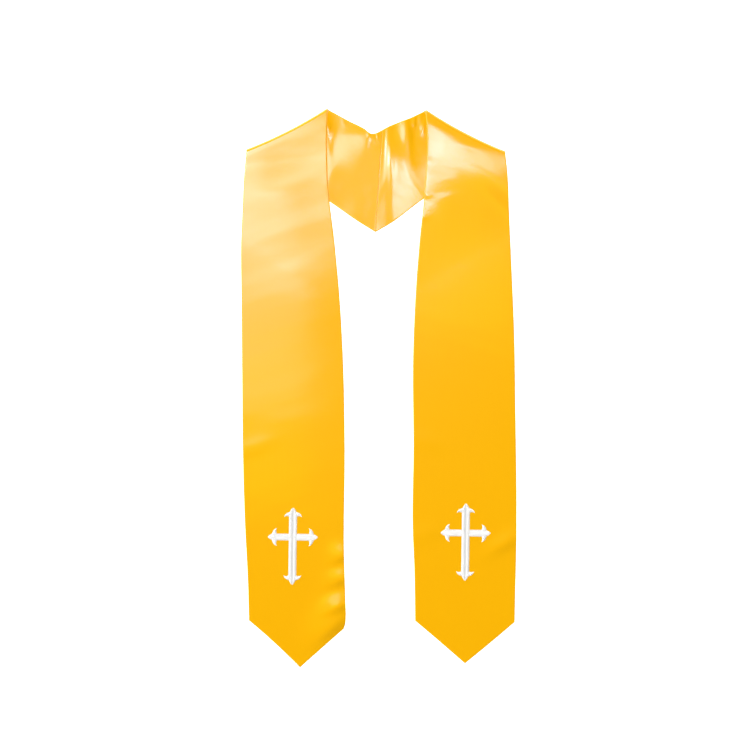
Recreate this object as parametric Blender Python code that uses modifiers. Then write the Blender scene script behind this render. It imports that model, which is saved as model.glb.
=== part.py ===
"""A choir stole of gold satin, folded at both shoulders and laid flat.

Each half is one lined band. It starts at the slanting seam of the centre back, runs up to the
shoulder as the back wing, rolls over the fold and comes down as the front panel, which ends in
a point. The band is a face and a lining of satin, sewn together along both edges. A white cross
with fleur ends is sewn on each front panel.

X runs across the body, Y up towards the neck and Z up from the table. The origin lies on the
table, under the middle of the stole. Left and right are as seen from above.
"""

import math

import bpy
from mathutils import Vector

MM = 0.001

# Cloth
CLOTH = 1.0 * MM  # one layer of satin with its interfacing
SEAM_GAP = 0.3 * MM  # between pieces that are sewn together or lie on each other
HALF_BAND = CLOTH + SEAM_GAP / 2  # from the middle of a band to its outer surface
BAND = 2 * HALF_BAND  # face, seam gap and lining

# Shoulder fold
FOLD_RADIUS = 3.0 * MM  # from the fold's axis to the middle of the band
FOLD_SAG = 3.4 * MM  # how far the fold's middle hangs back from its ends
SAG_SPREAD = 50 * MM  # how far from the fold the cloth still follows its sag
SWELLS_END = (230 * MM, 360 * MM)  # past the fold, where a panel's swells die away
PRESSED = (74.5 * MM, 87 * MM)  # from the middle, where a panel presses the wing's ridges flat
STEP_DOWN = (-12 * MM, 110 * MM)  # past the wing's edge, where the panel comes down to the table

# Grid of each band
WING_RUNGS = 32
FOLD_RUNGS = 6
PANEL_RUNGS = 50
COLUMNS = 14
EDGE_COLUMNS = 0.5  # 0 for even columns, 1 for columns that crowd towards both edges
POINT_STARTS = 0.72  # share of the panel's length where its rungs begin to turn into the point

# Centre back seam, from the neck edge down to the point of the V
SEAM_TOP = (4.7, 368.2)
SEAM_BOTTOM = (-4.9, 222.3)

# Each edge is a smooth line through a few points, x and y in millimetres.
# neck: the wing's upper edge, from the back seam to the shoulder fold
# back: the wing's lower edge, from the back seam to the shoulder fold
# inner, outer: the panel's edges, from the shoulder fold to the corners of the point
# stand_off: how far the panel stands above the back wing that it covers
# spring: how far from the fold the panel settles onto the wing
# hem_hollow: how far the inner and the outer side of the point are hollow
OUTLINES = {
    "left": {
        "neck": [
            SEAM_TOP,
            (-5.9, 363.3),
            (-11.0, 363.1),
            (-20.7, 369.9),
            (-40.8, 380.2),
            (-73.6, 398.0),
        ],
        "back": [SEAM_BOTTOM, (-26.5, 235.4), (-67.9, 264.0), (-188.9, 339.4)],
        "inner": [
            (-73.6, 398.0),
            (-74.6, 339.3),
            (-73.1, 293.5),
            (-63.0, 203.4),
            (-55.9, 124.8),
            (-50.8, 27.5),
            (-48.8, -89.7),
            (-49.8, -232.7),
            (-47.8, -304.2),
            (-47.2, -327.1),
            (-47.9, -336.4),
            (-50.2, -344.3),
        ],
        "outer": [
            (-188.9, 339.4),
            (-191.8, 310.7),
            (-194.6, 256.3),
            (-196.9, 203.4),
            (-196.4, 124.8),
            (-195.6, 10.4),
            (-194.4, -104.0),
            (-191.9, -189.8),
            (-187.6, -275.6),
            (-186.0, -332.7),
        ],
        "tip": (-112.8, -400.0),
        "stand_off": 1.67,
        "spring": 121,
        "hem_hollow": (0.0, 1.8),
    },
    "right": {
        "neck": [
            SEAM_TOP,
            (10.7, 371.7),
            (30.7, 380.2),
            (45.0, 385.6),
            (53.6, 389.7),
            (66.5, 396.2),
        ],
        "back": [SEAM_BOTTOM, (16.4, 234.7), (60.8, 267.8), (179.9, 336.8)],
        "inner": [
            (66.5, 396.2),
            (68.8, 360.7),
            (65.9, 289.2),
            (57.3, 203.4),
            (51.7, 124.8),
            (48.5, 39.0),
            (49.2, -89.7),
            (47.8, -189.8),
            (50.6, -268.5),
            (51.5, -333.1),
        ],
        "outer": [
            (179.9, 336.8),
            (183.6, 303.5),
            (185.8, 256.3),
            (189.3, 179.1),
            (193.7, 67.6),
            (195.2, -32.5),
            (196.8, -161.2),
            (196.5, -225.6),
            (194.9, -297.1),
            (194.1, -335.0),
        ],
        "tip": (122.8, -394.3),
        "stand_off": 1.8,
        "spring": 73,
        "hem_hollow": (0.4, -0.6),
    },
}

# Soft ridges in the cloth, in millimetres and degrees. Each row holds the ridge's middle, the
# way it runs, half its length, half its width on its left and on its right, and its height.
# wing: the lining of the back wings, which bags a little over the flat face under it
WING_RIDGES = [
    (-10.2, 347.2, 71.7, 47, 29.0, 142.0, 1.79),
    (-49.8, 355.4, 13.1, 21, 14.6, 135.0, 0.51),
    (-17.8, 358.6, 82.8, 15, 31.4, 5.7, 0.62),
    (-74.0, 371.4, 94.4, 37, 10.0, 4.5, 0.55),
    (-76.9, 376.3, 109.2, 16, 20.6, 8.4, 1.57),
    (-74.1, 292.9, 59.7, 31, 15.6, 24.9, 1.62),
    (8.0, 289.1, 73.8, 253, 6.6, 34.4, 0.31),
    (16.9, 326.9, 91.2, 28, 3.6, 5.4, 0.35),
    (12.0, 360.7, 87.4, 42, 2.0, 6.4, 0.33),
    (20.1, 264.4, 92.1, 117, 7.3, 100.0, 0.32),
    (40.6, 303.7, -58.9, 56, 19.3, 119.0, 1.57),
    (39.8, 368.9, 94.3, 33, 9.0, 6.5, 1.59),
]
# gather: small gathers of the lining along the seam of the neck edge
GATHERS = [
    (-50.0, 380.0, -75.0, 8, 3.6, 3.6, 0.10),
    (-14.0, 360.0, -68.0, 7, 2.6, 2.2, 0.34),
    (-8.0, 357.0, -76.0, 8, 2.4, 2.0, 0.34),
    (-2.0, 358.0, -84.0, 8, 2.2, 2.0, 0.30),
    (50.0, 380.0, 84.0, 9, 4.0, 3.0, 0.80),
    (59.0, 384.0, 80.0, 8, 3.0, 2.5, 0.55),
    (64.0, 374.0, 78.0, 11, 4.5, 4.0, 0.90),
]
# swell: both layers of a panel, which lies over the wing in soft swells
SWELLS = {
    "left": [
        (-38.7, 325.8, 232.3, 56, 118.0, 43.2, 2.30),
        (-150.2, 322.2, 6.1, 131, 21.2, 91.2, -1.02),
        (-180.8, 313.8, 107.4, 39, 45.5, 30.1, 0.61),
        (-198.2, 218.2, 22.1, 70, 60.0, 32.7, 1.62),
        (-154.7, 172.4, -21.1, 464, 56.9, 94.9, 1.91),
        (-142.8, 274.0, 7.4, 48, 23.4, 93.2, 1.02),
    ],
    "right": [
        (73.9, 380.7, -29.7, 39, 4.0, 5.3, 0.47),
        (203.5, 344.5, -1.0, 63, 5.4, 7.8, 0.66),
        (76.2, 317.9, 67.9, 84, 149.0, 11.1, 0.09),
        (72.1, 301.5, -0.5, 67, 90.3, 21.0, 0.81),
        (220.7, 244.6, -132.3, 16, 80.0, 72.5, 2.68),
        (86.6, 269.1, 13.7, 21, 5.6, 30.7, 0.52),
    ],
}
# edge: both layers, where an edge or a corner has lifted off the table
EDGE_RIDGES = [
    (-52.0, -240.0, 20.0, 18, 16.0, 7.5, 2.4),
    (-53.0, -273.0, 18.0, 21, 16.0, 8.0, 2.8),
    (-58.0, -311.0, 24.0, 25, 18.0, 8.0, 3.0),
    (-66.0, -338.0, 40.0, 34, 22.0, 13.0, 4.0),
    (180.0, -222.0, 30.0, 28, 12.0, 9.0, 1.6),
    (-179.4, -85.4, 18.0, 30, 12.0, 12.0, 0.5),
    (63.6, -75.4, -20.0, 28, 12.0, 12.0, 0.6),
    (61.6, -209.4, 16.0, 26, 12.0, 12.0, 0.6),
    (70.0, 323.0, 4.0, 8, 4.0, 4.0, 0.35),
    (70.0, 275.0, -4.0, 9, 5.0, 5.0, 0.50),
    (64.0, 243.0, 0.0, 9, 4.0, 4.0, 0.30),
]

# Crosses
CROSS_THICK = 1.2 * MM
CROSS_ROUNDING = 0.35 * MM
CROSS_UP, CROSS_DOWN, CROSS_SIDE = 42.1 * MM, 68.0 * MM, 36.0 * MM  # arms, from where the bars cross
POST_HALF, BAR_HALF = 5.5 * MM, 4.7 * MM  # half the widths of the upright and of the crossbar
CROSSES = {
    "left": {"at": (-123.1, -213.4), "lean": -0.8},
    "right": {"at": (123.8, -207.6), "lean": -0.8},
}
# Half of a fleur end, in millimetres: out from the arm's middle line, back from its tip.
# lance: the pointed middle leaf
LANCE = [(0.0, 0.0), (1.6, 1.8), (3.4, 4.3), (4.2, 6.3)]
# leaf: the side leaf, out to its curled tip and back to the arm
LEAF = [(6.0, 6.8), (8.8, 7.9), (11.2, 10.0), (12.7, 13.2), (10.5, 12.2), (8.2, 12.0)]
LEAF_ROOT = 13.2 * MM  # where the side leaf meets the arm, back from the tip

GOLD = (1.0, 0.55, 0.03, 1.0)
LINING_GOLD = (1.0, 0.58, 0.06, 1.0)
WHITE = (0.9, 0.9, 0.88, 1.0)


def blend(a, b, share):
    """The point that lies this share of the way from a to b."""
    return a + (b - a) * share


def smooth_step(value, start, end):
    """0 before start, 1 after end, and an S-curve between."""
    share = min(1.0, max(0.0, (value - start) / (end - start)))
    return share * share * (3 - 2 * share)


def smooth_line(points_mm):
    """A function of a share from 0 to 1 that runs smoothly through points in millimetres."""
    points = [Vector(p) * MM for p in points_mm]
    spans = [(b - a).length for a, b in zip(points, points[1:])]
    slopes = [(b - a) / span for a, b, span in zip(points, points[1:], spans)]
    tangents = [slopes[0]]
    for i in range(1, len(points) - 1):
        before, after = spans[i - 1], spans[i]
        tangents.append((slopes[i - 1] * after + slopes[i] * before) / (before + after))
    tangents.append(slopes[-1])

    def at(share):
        left = min(1.0, max(0.0, share)) * sum(spans)
        i = 0
        while i < len(spans) - 1 and left > spans[i]:
            left -= spans[i]
            i += 1
        t = left / spans[i]
        start = points[i] * (1 + 2 * t) + tangents[i] * spans[i] * t
        end = points[i + 1] * (3 - 2 * t) - tangents[i + 1] * spans[i] * (1 - t)
        return start * (1 - t) ** 2 + end * t**2

    return at


def relief(x, y, ridges):
    """How far soft ridges lift the cloth at a point on the table."""
    height = 0.0
    for mid_x, mid_y, heading, half_length, left_width, right_width, top in ridges:
        away_x, away_y = x / MM - mid_x, y / MM - mid_y
        cos, sin = math.cos(math.radians(heading)), math.sin(math.radians(heading))
        along = (away_x * cos + away_y * sin) / half_length
        leftwards = away_y * cos - away_x * sin
        across = leftwards / (left_width if leftwards > 0 else right_width)
        height += top * MM * math.exp(-(along**2) - across**2)
    return height


class Band:
    """Where one half of the stole lies, from the back seam over the shoulder to its point."""

    def __init__(self, outline):
        self.neck = smooth_line(outline["neck"])
        self.back = smooth_line(outline["back"])
        self.inner = smooth_line(outline["inner"])
        self.outer = smooth_line(outline["outer"])
        self.tip = Vector(outline["tip"]) * MM
        self.stand_off = outline["stand_off"] * MM
        self.spring = outline["spring"] * MM
        self.hem_hollow = [depth * MM for depth in outline["hem_hollow"]]
        self.neck_end, self.shoulder_end = self.inner(0), self.outer(0)
        # Unit vectors along the fold, outwards, and across it, towards the middle of the stole
        self.fold = (self.shoulder_end - self.neck_end).normalized()
        self.inward = Vector((self.fold.y, -self.fold.x))
        if self.inward.y > 0:
            self.inward.negate()
        # Unit vector away from the wing's hidden lower edge, and a point on that edge
        self.wing_edge = Vector(outline["back"][-2]) * MM
        run = (self.shoulder_end - self.wing_edge).normalized()
        self.off_wing = Vector((run.y, -run.x))
        if self.off_wing.y > 0:
            self.off_wing.negate()

    def past_fold(self, place):
        """How far a place lies from the fold, towards the middle of the stole."""
        return (place - self.neck_end).dot(self.inward)

    def sag(self, place, across):
        """How far a place moves because the middle of the fold hangs back from its ends."""
        spread = 1 - smooth_step(self.past_fold(place), 2 * FOLD_RADIUS, SAG_SPREAD)
        return self.inward * FOLD_SAG * 4 * across * (1 - across) * spread

    def slant(self, edge):
        """How far an edge moves along the fold for each unit that it moves across it."""
        run = edge(0.02) - edge(0)
        return run.dot(self.fold) / run.dot(self.inward)

    def rungs(self):
        """The band's cross lines as functions of a share from the inner to the outer edge."""
        lines = []
        near_fold = 1 - 3 * FOLD_RADIUS / (self.neck(1) - self.neck(0)).length
        for i in range(WING_RUNGS):
            share = near_fold * (i / (WING_RUNGS - 1)) ** 1.35
            lines.append(self.wing_rung(share))
        for i in range(FOLD_RUNGS + 1):
            lines.append(self.fold_rung(math.pi * (i / FOLD_RUNGS - 0.5)))
        for i in range(1, PANEL_RUNGS + 1):
            lines.append(self.panel_rung((i / PANEL_RUNGS) ** 1.2))
        return lines

    def wing_lift(self, place, ridges):
        """How high a wing stands, which the fold holds down and the panel over it presses flat."""
        held = smooth_step(self.past_fold(place), FOLD_RADIUS, 3 * FOLD_RADIUS)
        free = 1 - smooth_step(abs(place.x), *PRESSED)
        return relief(place.x, place.y, ridges["wing"]) * held * free

    def wing_rung(self, share):
        top, bottom = self.neck(share), self.back(share)
        gap = Vector((math.copysign(SEAM_GAP / 2, self.neck_end.x), 0)) * (1 - share)

        def at(across, ridges):
            place = blend(top, bottom, across) + gap
            place += self.sag(place, across)
            return Vector((place.x, place.y, HALF_BAND + self.wing_lift(place, ridges)))

        return at

    def fold_rung(self, turn):
        """A line on the roll of the fold, which turns from -90 degrees below to 90 above."""
        over = FOLD_RADIUS * turn / (math.pi / 2)
        inset = FOLD_RADIUS * (1 - math.cos(turn))
        before = -self.slant(lambda s: self.neck(1 - s)), -self.slant(lambda s: self.back(1 - s))
        after = self.slant(self.inner), self.slant(self.outer)
        slants = before if over < 0 else after
        ends = [
            corner + self.fold * slant * over + self.inward * inset
            for corner, slant in zip((self.neck_end, self.shoulder_end), slants)
        ]
        height = HALF_BAND + FOLD_RADIUS * (1 + math.sin(turn))

        def at(across, ridges):
            place = blend(ends[0], ends[1], across)
            place += self.sag(place, across)
            return Vector((place.x, place.y, height))

        return at

    def panel_rung(self, share):
        first = FOLD_RADIUS / (self.inner(1) - self.inner(0)).length
        share = first + (1 - first) * share
        inner, outer = self.inner(share), self.outer(share)
        point = max(0.0, (share - POINT_STARTS) / (1 - POINT_STARTS)) ** 2
        drop = (self.tip - blend(self.inner(1), self.outer(1), 0.5)) * point

        def at(across, ridges):
            slant = abs(2 * across - 1)
            place = blend(inner, outer, across) + drop * (1 - slant)
            place.y += self.hem_hollow[round(across)] * 4 * slant * (1 - slant) * point
            place += self.sag(place, across)
            return Vector((place.x, place.y, self.panel_height(place, ridges)))

        return at

    def panel_height(self, place, ridges):
        """The middle of the panel: on the wing near the shoulder, on the table below it."""
        on_wing = 1 - smooth_step((place - self.wing_edge).dot(self.off_wing), *STEP_DOWN)
        below = (BAND + self.stand_off) * on_wing
        spring = 1 - smooth_step(self.past_fold(place), FOLD_RADIUS, self.spring)
        lift = blend(below, 2 * FOLD_RADIUS, spring)
        away = smooth_step(self.past_fold(place), FOLD_RADIUS, 7 * FOLD_RADIUS)
        away *= 1 - smooth_step(self.past_fold(place), *SWELLS_END)
        lift += relief(place.x, place.y, ridges["swell"]) * away
        return HALF_BAND + lift + relief(place.x, place.y, EDGE_RIDGES)


def material(name, colour, roughness):
    made = bpy.data.materials.new(name)
    made.use_nodes = True
    shader = made.node_tree.nodes["Principled BSDF"]
    shader.inputs["Base Color"].default_value = colour
    shader.inputs["Roughness"].default_value = roughness
    shader.inputs["Metallic"].default_value = 0.0
    return made


def add_layer(name, side, ridges, above, finish):
    """A layer of a band: a grid whose lines lie on the band's rungs, made a wall by Solidify."""
    lines = Band(OUTLINES[side]).rungs()
    bpy.ops.mesh.primitive_grid_add(x_subdivisions=COLUMNS, y_subdivisions=len(lines) - 1, size=1)
    layer = bpy.context.object
    layer.name = name
    for vertex in layer.data.vertices:
        row = round((vertex.co.y + 0.5) * (len(lines) - 1))
        even = vertex.co.x + 0.5
        column = blend(even, (1 - math.cos(math.pi * even)) / 2, EDGE_COLUMNS)
        # The grid's faces point up on the panel when its columns run outwards on the left
        across = column if side == "left" else 1 - column
        vertex.co = lines[row](across, ridges)
    wall = layer.modifiers.new("Wall", "SOLIDIFY")
    wall.thickness = CLOTH
    # An offset past 1 leaves half the seam gap between the band's middle and the wall
    wall.offset = (1 if above else -1) * (1 + SEAM_GAP / CLOTH)
    wall.use_even_offset = True
    finish_piece(layer, finish)
    return layer


def fleur_half(arm, half_width, side):
    """One half of an arm's fleur end, from the arm's edge to the tip, on the side given."""
    root = [(half_width, arm - LEAF_ROOT)]
    ends = [(out * MM, arm - back * MM) for out, back in reversed(LANCE + LEAF)]
    return [(side * out, along) for out, along in root + ends]


def cross_outline():
    """The cross's outline, round its four arms, with the bars crossing at the origin."""
    arms = [
        (CROSS_SIDE, BAR_HALF, 0),
        (CROSS_UP, POST_HALF, 90),
        (CROSS_SIDE, BAR_HALF, 180),
        (CROSS_DOWN, POST_HALF, 270),
    ]
    outline = []
    for arm, half_width, heading in arms:
        cos, sin = math.cos(math.radians(heading)), math.sin(math.radians(heading))
        end = fleur_half(arm, half_width, -1) + fleur_half(arm, half_width, 1)[-2::-1]
        # Along the arm is the heading, and out from it is a quarter turn to its left
        outline += [(along * cos - out * sin, along * sin + out * cos) for out, along in end]
        other_half = POST_HALF if half_width == BAR_HALF else BAR_HALF
        outline.append((other_half * cos - half_width * sin, other_half * sin + half_width * cos))
    return outline


def add_cross(name, place, finish):
    """A flat cross with rounded edges, lying on a front panel."""
    flat = bpy.data.curves.new(name, "CURVE")
    flat.dimensions = "2D"
    flat.fill_mode = "BOTH"
    flat.bevel_depth = CROSS_ROUNDING
    flat.bevel_resolution = 1
    flat.offset = -CROSS_ROUNDING
    flat.extrude = CROSS_THICK / 2 - CROSS_ROUNDING
    outline = cross_outline()
    spline = flat.splines.new("POLY")
    spline.points.add(len(outline) - 1)
    for point, (x, y) in zip(spline.points, outline):
        point.co = (x, y, 0, 1)
    spline.use_cyclic_u = True
    cross = bpy.data.objects.new(name, flat)
    bpy.context.scene.collection.objects.link(cross)
    x, y = place["at"]
    cross.location = (x * MM, y * MM, BAND + SEAM_GAP + CROSS_THICK / 2)
    cross.rotation_euler.z = math.radians(place["lean"])
    finish_piece(cross, finish)
    return cross


def finish_piece(piece, finish):
    """Gives a piece its material and its place in the stole's collection."""
    piece.data.materials.append(finish)
    if piece.type == "MESH":
        piece.data.shade_smooth()
        piece.data.set_sharp_from_angle(angle=math.radians(40))
    for holder in list(piece.users_collection):
        holder.objects.unlink(piece)
    bpy.data.collections["choir_stole"].objects.link(piece)


def main():
    for old in list(bpy.data.objects):
        bpy.data.objects.remove(old)
    stole = bpy.data.collections.new("choir_stole")
    bpy.context.scene.collection.children.link(stole)
    satin = material("gold_satin", GOLD, 0.35)
    lining_satin = material("lining_satin", LINING_GOLD, 0.3)
    thread = material("white_thread", WHITE, 0.5)
    for side in ("left", "right"):
        face_ridges = {"wing": [], "swell": SWELLS[side]}
        lining_ridges = {"wing": WING_RIDGES + GATHERS, "swell": SWELLS[side]}
        add_layer(f"face_{side}", side, face_ridges, True, satin)
        add_layer(f"lining_{side}", side, lining_ridges, False, lining_satin)
        add_cross(f"cross_{side}", CROSSES[side], thread)


main()
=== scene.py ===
# %% [markdown]
# A choir stole of gold satin, laid flat.
#
# The stole is two long bands of satin that meet in a slanting seam behind the neck. Each band
# has a face and a lining. It lies folded at the shoulders, so the front panels cover most of the
# back wings and the lining shows inside the neck. A white cross is embroidered near each
# pointed end. This lesson dresses the plain solids of the stole: first the camera and the light,
# then the satin, the bands, the crosses and the seam.

# %% Load the stole's solids
import math

import bpy
import numpy as np
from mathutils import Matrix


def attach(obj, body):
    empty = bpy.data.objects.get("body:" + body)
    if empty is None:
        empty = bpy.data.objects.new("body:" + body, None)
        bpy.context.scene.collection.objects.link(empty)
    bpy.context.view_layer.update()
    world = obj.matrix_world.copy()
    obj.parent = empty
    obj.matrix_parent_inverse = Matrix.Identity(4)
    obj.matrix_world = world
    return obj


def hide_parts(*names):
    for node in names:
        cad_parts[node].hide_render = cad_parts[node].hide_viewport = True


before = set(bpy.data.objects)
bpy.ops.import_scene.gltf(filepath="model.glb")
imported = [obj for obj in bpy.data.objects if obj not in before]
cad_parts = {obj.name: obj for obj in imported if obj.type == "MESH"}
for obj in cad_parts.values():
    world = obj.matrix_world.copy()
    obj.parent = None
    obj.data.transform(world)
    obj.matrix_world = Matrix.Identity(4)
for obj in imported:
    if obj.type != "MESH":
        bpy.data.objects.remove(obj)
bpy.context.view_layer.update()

MM = 0.001
print("solids:", sorted(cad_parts))

# %% [markdown]
# The photograph was taken from straight above, so the camera looks straight down and the top of
# the picture is the neck. A long lens far away keeps both ends of the stole at one scale, as a
# product photographer would. One pixel of the picture covers 1.43 mm of the table.

# %% Set up the camera
PICTURE_PIXELS = 750
PIXEL = 1.43 * MM
PICTURE_MIDDLE = (-5.7 * MM, 18.2 * MM)
LENS, SENSOR = 85.0, 36.0

scene = bpy.context.scene
scene.view_settings.view_transform = "Standard"
camera_height = PICTURE_PIXELS * PIXEL * LENS / SENSOR
camera_data = bpy.data.cameras.new("camera")
camera_data.lens = LENS
camera_data.sensor_width = SENSOR
camera = bpy.data.objects.new("camera", camera_data)
camera.location = (*PICTURE_MIDDLE, camera_height)
scene.collection.objects.link(camera)
scene.camera = camera
print("camera height in m:", round(camera_height, 3))

# %% [markdown]
# Satin shows its light twice: it scatters some of it in its own colour and mirrors the rest, a
# little blurred. Distant lamps light the colour. They cast no shadow and aren't mirrored, as if
# the light came from many sides. A bank of soft strips hangs over each shoulder, and the cloth
# mirrors it into the camera as a pale sheen. The strips get dimmer and yellower down the table,
# and the sky is bright only round the horizon, where flat cloth can't mirror it, so the lower
# panels stay deep gold. One large soft box would be simpler, but it can't change along the cloth.

# %% Light the table
def add_holder(name, lamp):
    """Puts a lamp into the scene. It points straight down until it is turned."""
    holder = bpy.data.objects.new(name, lamp)
    scene.collection.objects.link(holder)
    return holder


STRIP_HEIGHT = 1.5


def add_strip(name, at, sides, brightness, tint):
    """A rectangular soft lamp that hangs level above the table."""
    lamp = bpy.data.lights.new(name, "AREA")
    lamp.shape = "RECTANGLE"
    lamp.size, lamp.size_y = sides
    lamp.energy = math.pi * brightness * sides[0] * sides[1]
    lamp.color = tint
    add_holder(name, lamp).location = (*at, STRIP_HEIGHT)


def add_distant(name, turn, height, width, strength):
    """A soft lamp so far away that it lights both ends of the stole alike."""
    lamp = bpy.data.lights.new(name, "SUN")
    lamp.energy = strength
    lamp.angle = math.radians(width)
    lamp.use_shadow = False
    holder = add_holder(name, lamp)
    holder.visible_glossy = False
    holder.rotation_euler = (0, math.radians(90 - height), math.radians(turn))


# Soft strips: their middle across and along the table, their sides, brightness and tint.
# The left bank gets dimmer and yellower down the table, and the right shoulder has its own.
COOL, PALE, WHITE = (0.9, 0.88, 1), (0.95, 0.97, 1), (1, 1, 1)
CREAM, YELLOW, GREENISH = (1, 1, 0.75), (1, 1, 0.45), (1, 1, 0)
STRIPS = {
    "left_1": {"at": (-0.345, 0.635), "sides": (0.38, 0.11), "brightness": 2.1, "tint": PALE},
    "left_2": {"at": (-0.345, 0.53), "sides": (0.38, 0.10), "brightness": 2.1, "tint": PALE},
    "left_3": {"at": (-0.345, 0.43), "sides": (0.38, 0.10), "brightness": 1.35, "tint": PALE},
    "left_4": {"at": (-0.345, 0.325), "sides": (0.38, 0.11), "brightness": 2.3, "tint": PALE},
    "left_5": {"at": (-0.345, 0.215), "sides": (0.38, 0.11), "brightness": 1.2, "tint": WHITE},
    "left_6": {"at": (-0.345, 0.105), "sides": (0.38, 0.11), "brightness": 0.56, "tint": CREAM},
    "left_7": {"at": (-0.345, -0.005), "sides": (0.38, 0.11), "brightness": 0.8, "tint": YELLOW},
    "left_8": {"at": (-0.345, -0.17), "sides": (0.38, 0.22), "brightness": 0.4, "tint": GREENISH},
    "outer_1": {"at": (-0.46, 0.55), "sides": (0.12, 0.18), "brightness": 40.0, "tint": WHITE},
    "outer_2": {"at": (-0.66, 0.35), "sides": (0.22, 0.60), "brightness": 1.3, "tint": CREAM},
    "right_1": {"at": (0.067, 0.455), "sides": (0.058, 0.09), "brightness": 5.1, "tint": COOL},
    "right_2": {"at": (0.067, 0.355), "sides": (0.058, 0.11), "brightness": 4.2, "tint": COOL},
    "right_3": {"at": (0.113, 0.3925), "sides": (0.034, 0.215), "brightness": 6.6, "tint": COOL},
    "right_4": {"at": (0.19, 0.25), "sides": (0.26, 0.28), "brightness": 0.45, "tint": GREENISH},
    "right_5": {"at": (0.17, 0.34), "sides": (0.08, 0.10), "brightness": 1.2, "tint": CREAM},
    "right_6": {"at": (0.22, 0.46), "sides": (0.14, 0.10), "brightness": 2.3, "tint": WHITE},
}
# Distant lamps: the way to each one round the table and above it, and its width, in degrees
DISTANT_LAMPS = {
    "key": {"turn": 145, "height": 35, "width": 35, "strength": 4.4},
    "fill": {"turn": 5, "height": 33, "width": 30, "strength": 0.6},
    "foot": {"turn": -95, "height": 33, "width": 30, "strength": 0.55},
}
SKY_LOW, SKY_HIGH = 0.75, 0.01  # brightness of the sky near the horizon and overhead
SKY_TINT = (1.0, 1.0, 0.7)
SKY_TURNS = (0.42, 0.62)  # heights between which it changes, as sines of the angle

for name, strip in STRIPS.items():
    add_strip(f"strip_{name}", **strip)
for name, lamp in DISTANT_LAMPS.items():
    add_distant(f"lamp_{name}", **lamp)


def add_sky():
    """A sky that is bright all round and dim overhead."""
    sky = bpy.data.worlds.new("sky")
    sky.use_nodes = True
    node, link = sky.node_tree.nodes.new, sky.node_tree.links.new
    place, parts = node("ShaderNodeTexCoord"), node("ShaderNodeSeparateXYZ")
    link(place.outputs["Generated"], parts.inputs["Vector"])
    shade = node("ShaderNodeMapRange")
    shade.interpolation_type = "SMOOTHSTEP"
    shade.inputs["From Min"].default_value, shade.inputs["From Max"].default_value = SKY_TURNS
    shade.inputs["To Min"].default_value = SKY_LOW
    shade.inputs["To Max"].default_value = SKY_HIGH
    link(parts.outputs["Z"], shade.inputs["Value"])
    light = sky.node_tree.nodes["Background"]
    light.inputs["Color"].default_value = (*SKY_TINT, 1)
    link(shade.outputs["Result"], light.inputs["Strength"])
    scene.world = sky


add_sky()

# %% [markdown]
# Materials and stitches are built from nodes. To keep their maths readable, a small class wraps
# a socket, so that an expression such as 1 - mask adds the Math nodes that work it out.

# %% Write node maths as expressions
class Value:
    """A number that varies from place to place: the output socket of some node."""

    def __init__(self, nodes, socket):
        self.nodes, self.socket = nodes, socket

    def _math(self, operation, first, second):
        made = self.nodes.node("ShaderNodeMath", {"operation": operation}, {0: first, 1: second})
        return Value(self.nodes, made.outputs[0])

    def __add__(self, other):
        return self._math("ADD", self, other)

    def __radd__(self, other):
        return self._math("ADD", other, self)

    def __sub__(self, other):
        return self._math("SUBTRACT", self, other)

    def __rsub__(self, other):
        return self._math("SUBTRACT", other, self)

    def __mul__(self, other):
        return self._math("MULTIPLY", self, other)

    def __rmul__(self, other):
        return self._math("MULTIPLY", other, self)


class Nodes:
    """A node tree under construction."""

    def __init__(self, tree):
        self.tree = tree

    def node(self, kind, settings, sockets):
        """Adds a node, sets it up and gives its sockets values or links."""
        made = self.tree.nodes.new(kind)
        for setting, choice in settings.items():
            setattr(made, setting, choice)
        for socket, source in sockets.items():
            self.feed(made.inputs[socket], source)
        return made

    def feed(self, socket, source):
        if isinstance(source, Value):
            self.tree.links.new(source.socket, socket)
        elif isinstance(source, bpy.types.NodeSocket):
            self.tree.links.new(source, socket)
        else:
            socket.default_value = source


class Recipe(Nodes):
    """A material under construction."""

    def __init__(self, name, **settings):
        self.material = bpy.data.materials.new(name)
        self.material.use_nodes = True
        super().__init__(self.material.node_tree)
        self.shader = self.tree.nodes["Principled BSDF"]
        for socket, number in settings.items():
            self.shader.inputs[socket.replace("_", " ")].default_value = number

    def drive(self, **sources):
        """Gives the shader's sockets values that vary over the surface."""
        for socket, source in sources.items():
            self.feed(self.shader.inputs[socket.replace("_", " ")], source)

    def noise(self, place, scale, detail):
        sockets = {"Vector": place, "Scale": scale, "Detail": detail}
        return Value(self, self.node("ShaderNodeTexNoise", {}, sockets).outputs["Fac"])

    def stretched_noise(self, place, scales, detail):
        """Noise with a scale for each axis, for patterns that run along the threads."""
        made = self.node("ShaderNodeMapping", {}, {"Vector": place, "Scale": scales})
        return self.noise(made.outputs["Vector"], 1.0, detail)

    def blend(self, share, first, second):
        """A colour between two colours."""
        sockets = {"Factor": share, 6: first, 7: second}
        return self.node("ShaderNodeMix", {"data_type": "RGBA"}, sockets).outputs[2]

    def bump(self, height, strength, distance, **under):
        """A normal that leans with a height, on top of another bump where one is given."""
        sockets = {"Height": height, "Strength": strength, "Distance": distance, **under}
        return self.node("ShaderNodeBump", {}, sockets).outputs["Normal"]


print("node classes:", [made.__name__ for made in (Value, Nodes, Recipe)])

# %% [markdown]
# The floor is a plain white sheet that glows a little, as white card does under studio light. It
# lies half a millimetre under the stole, so that the two flat surfaces don't flicker through
# each other.

# %% Lay the floor
FLOOR_WHITE = (0.93, 0.93, 0.93, 1)
FLOOR_GLOW = 0.65
FLOOR_HALF = 12.0
FLOOR_GAP = 0.5 * MM

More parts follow.
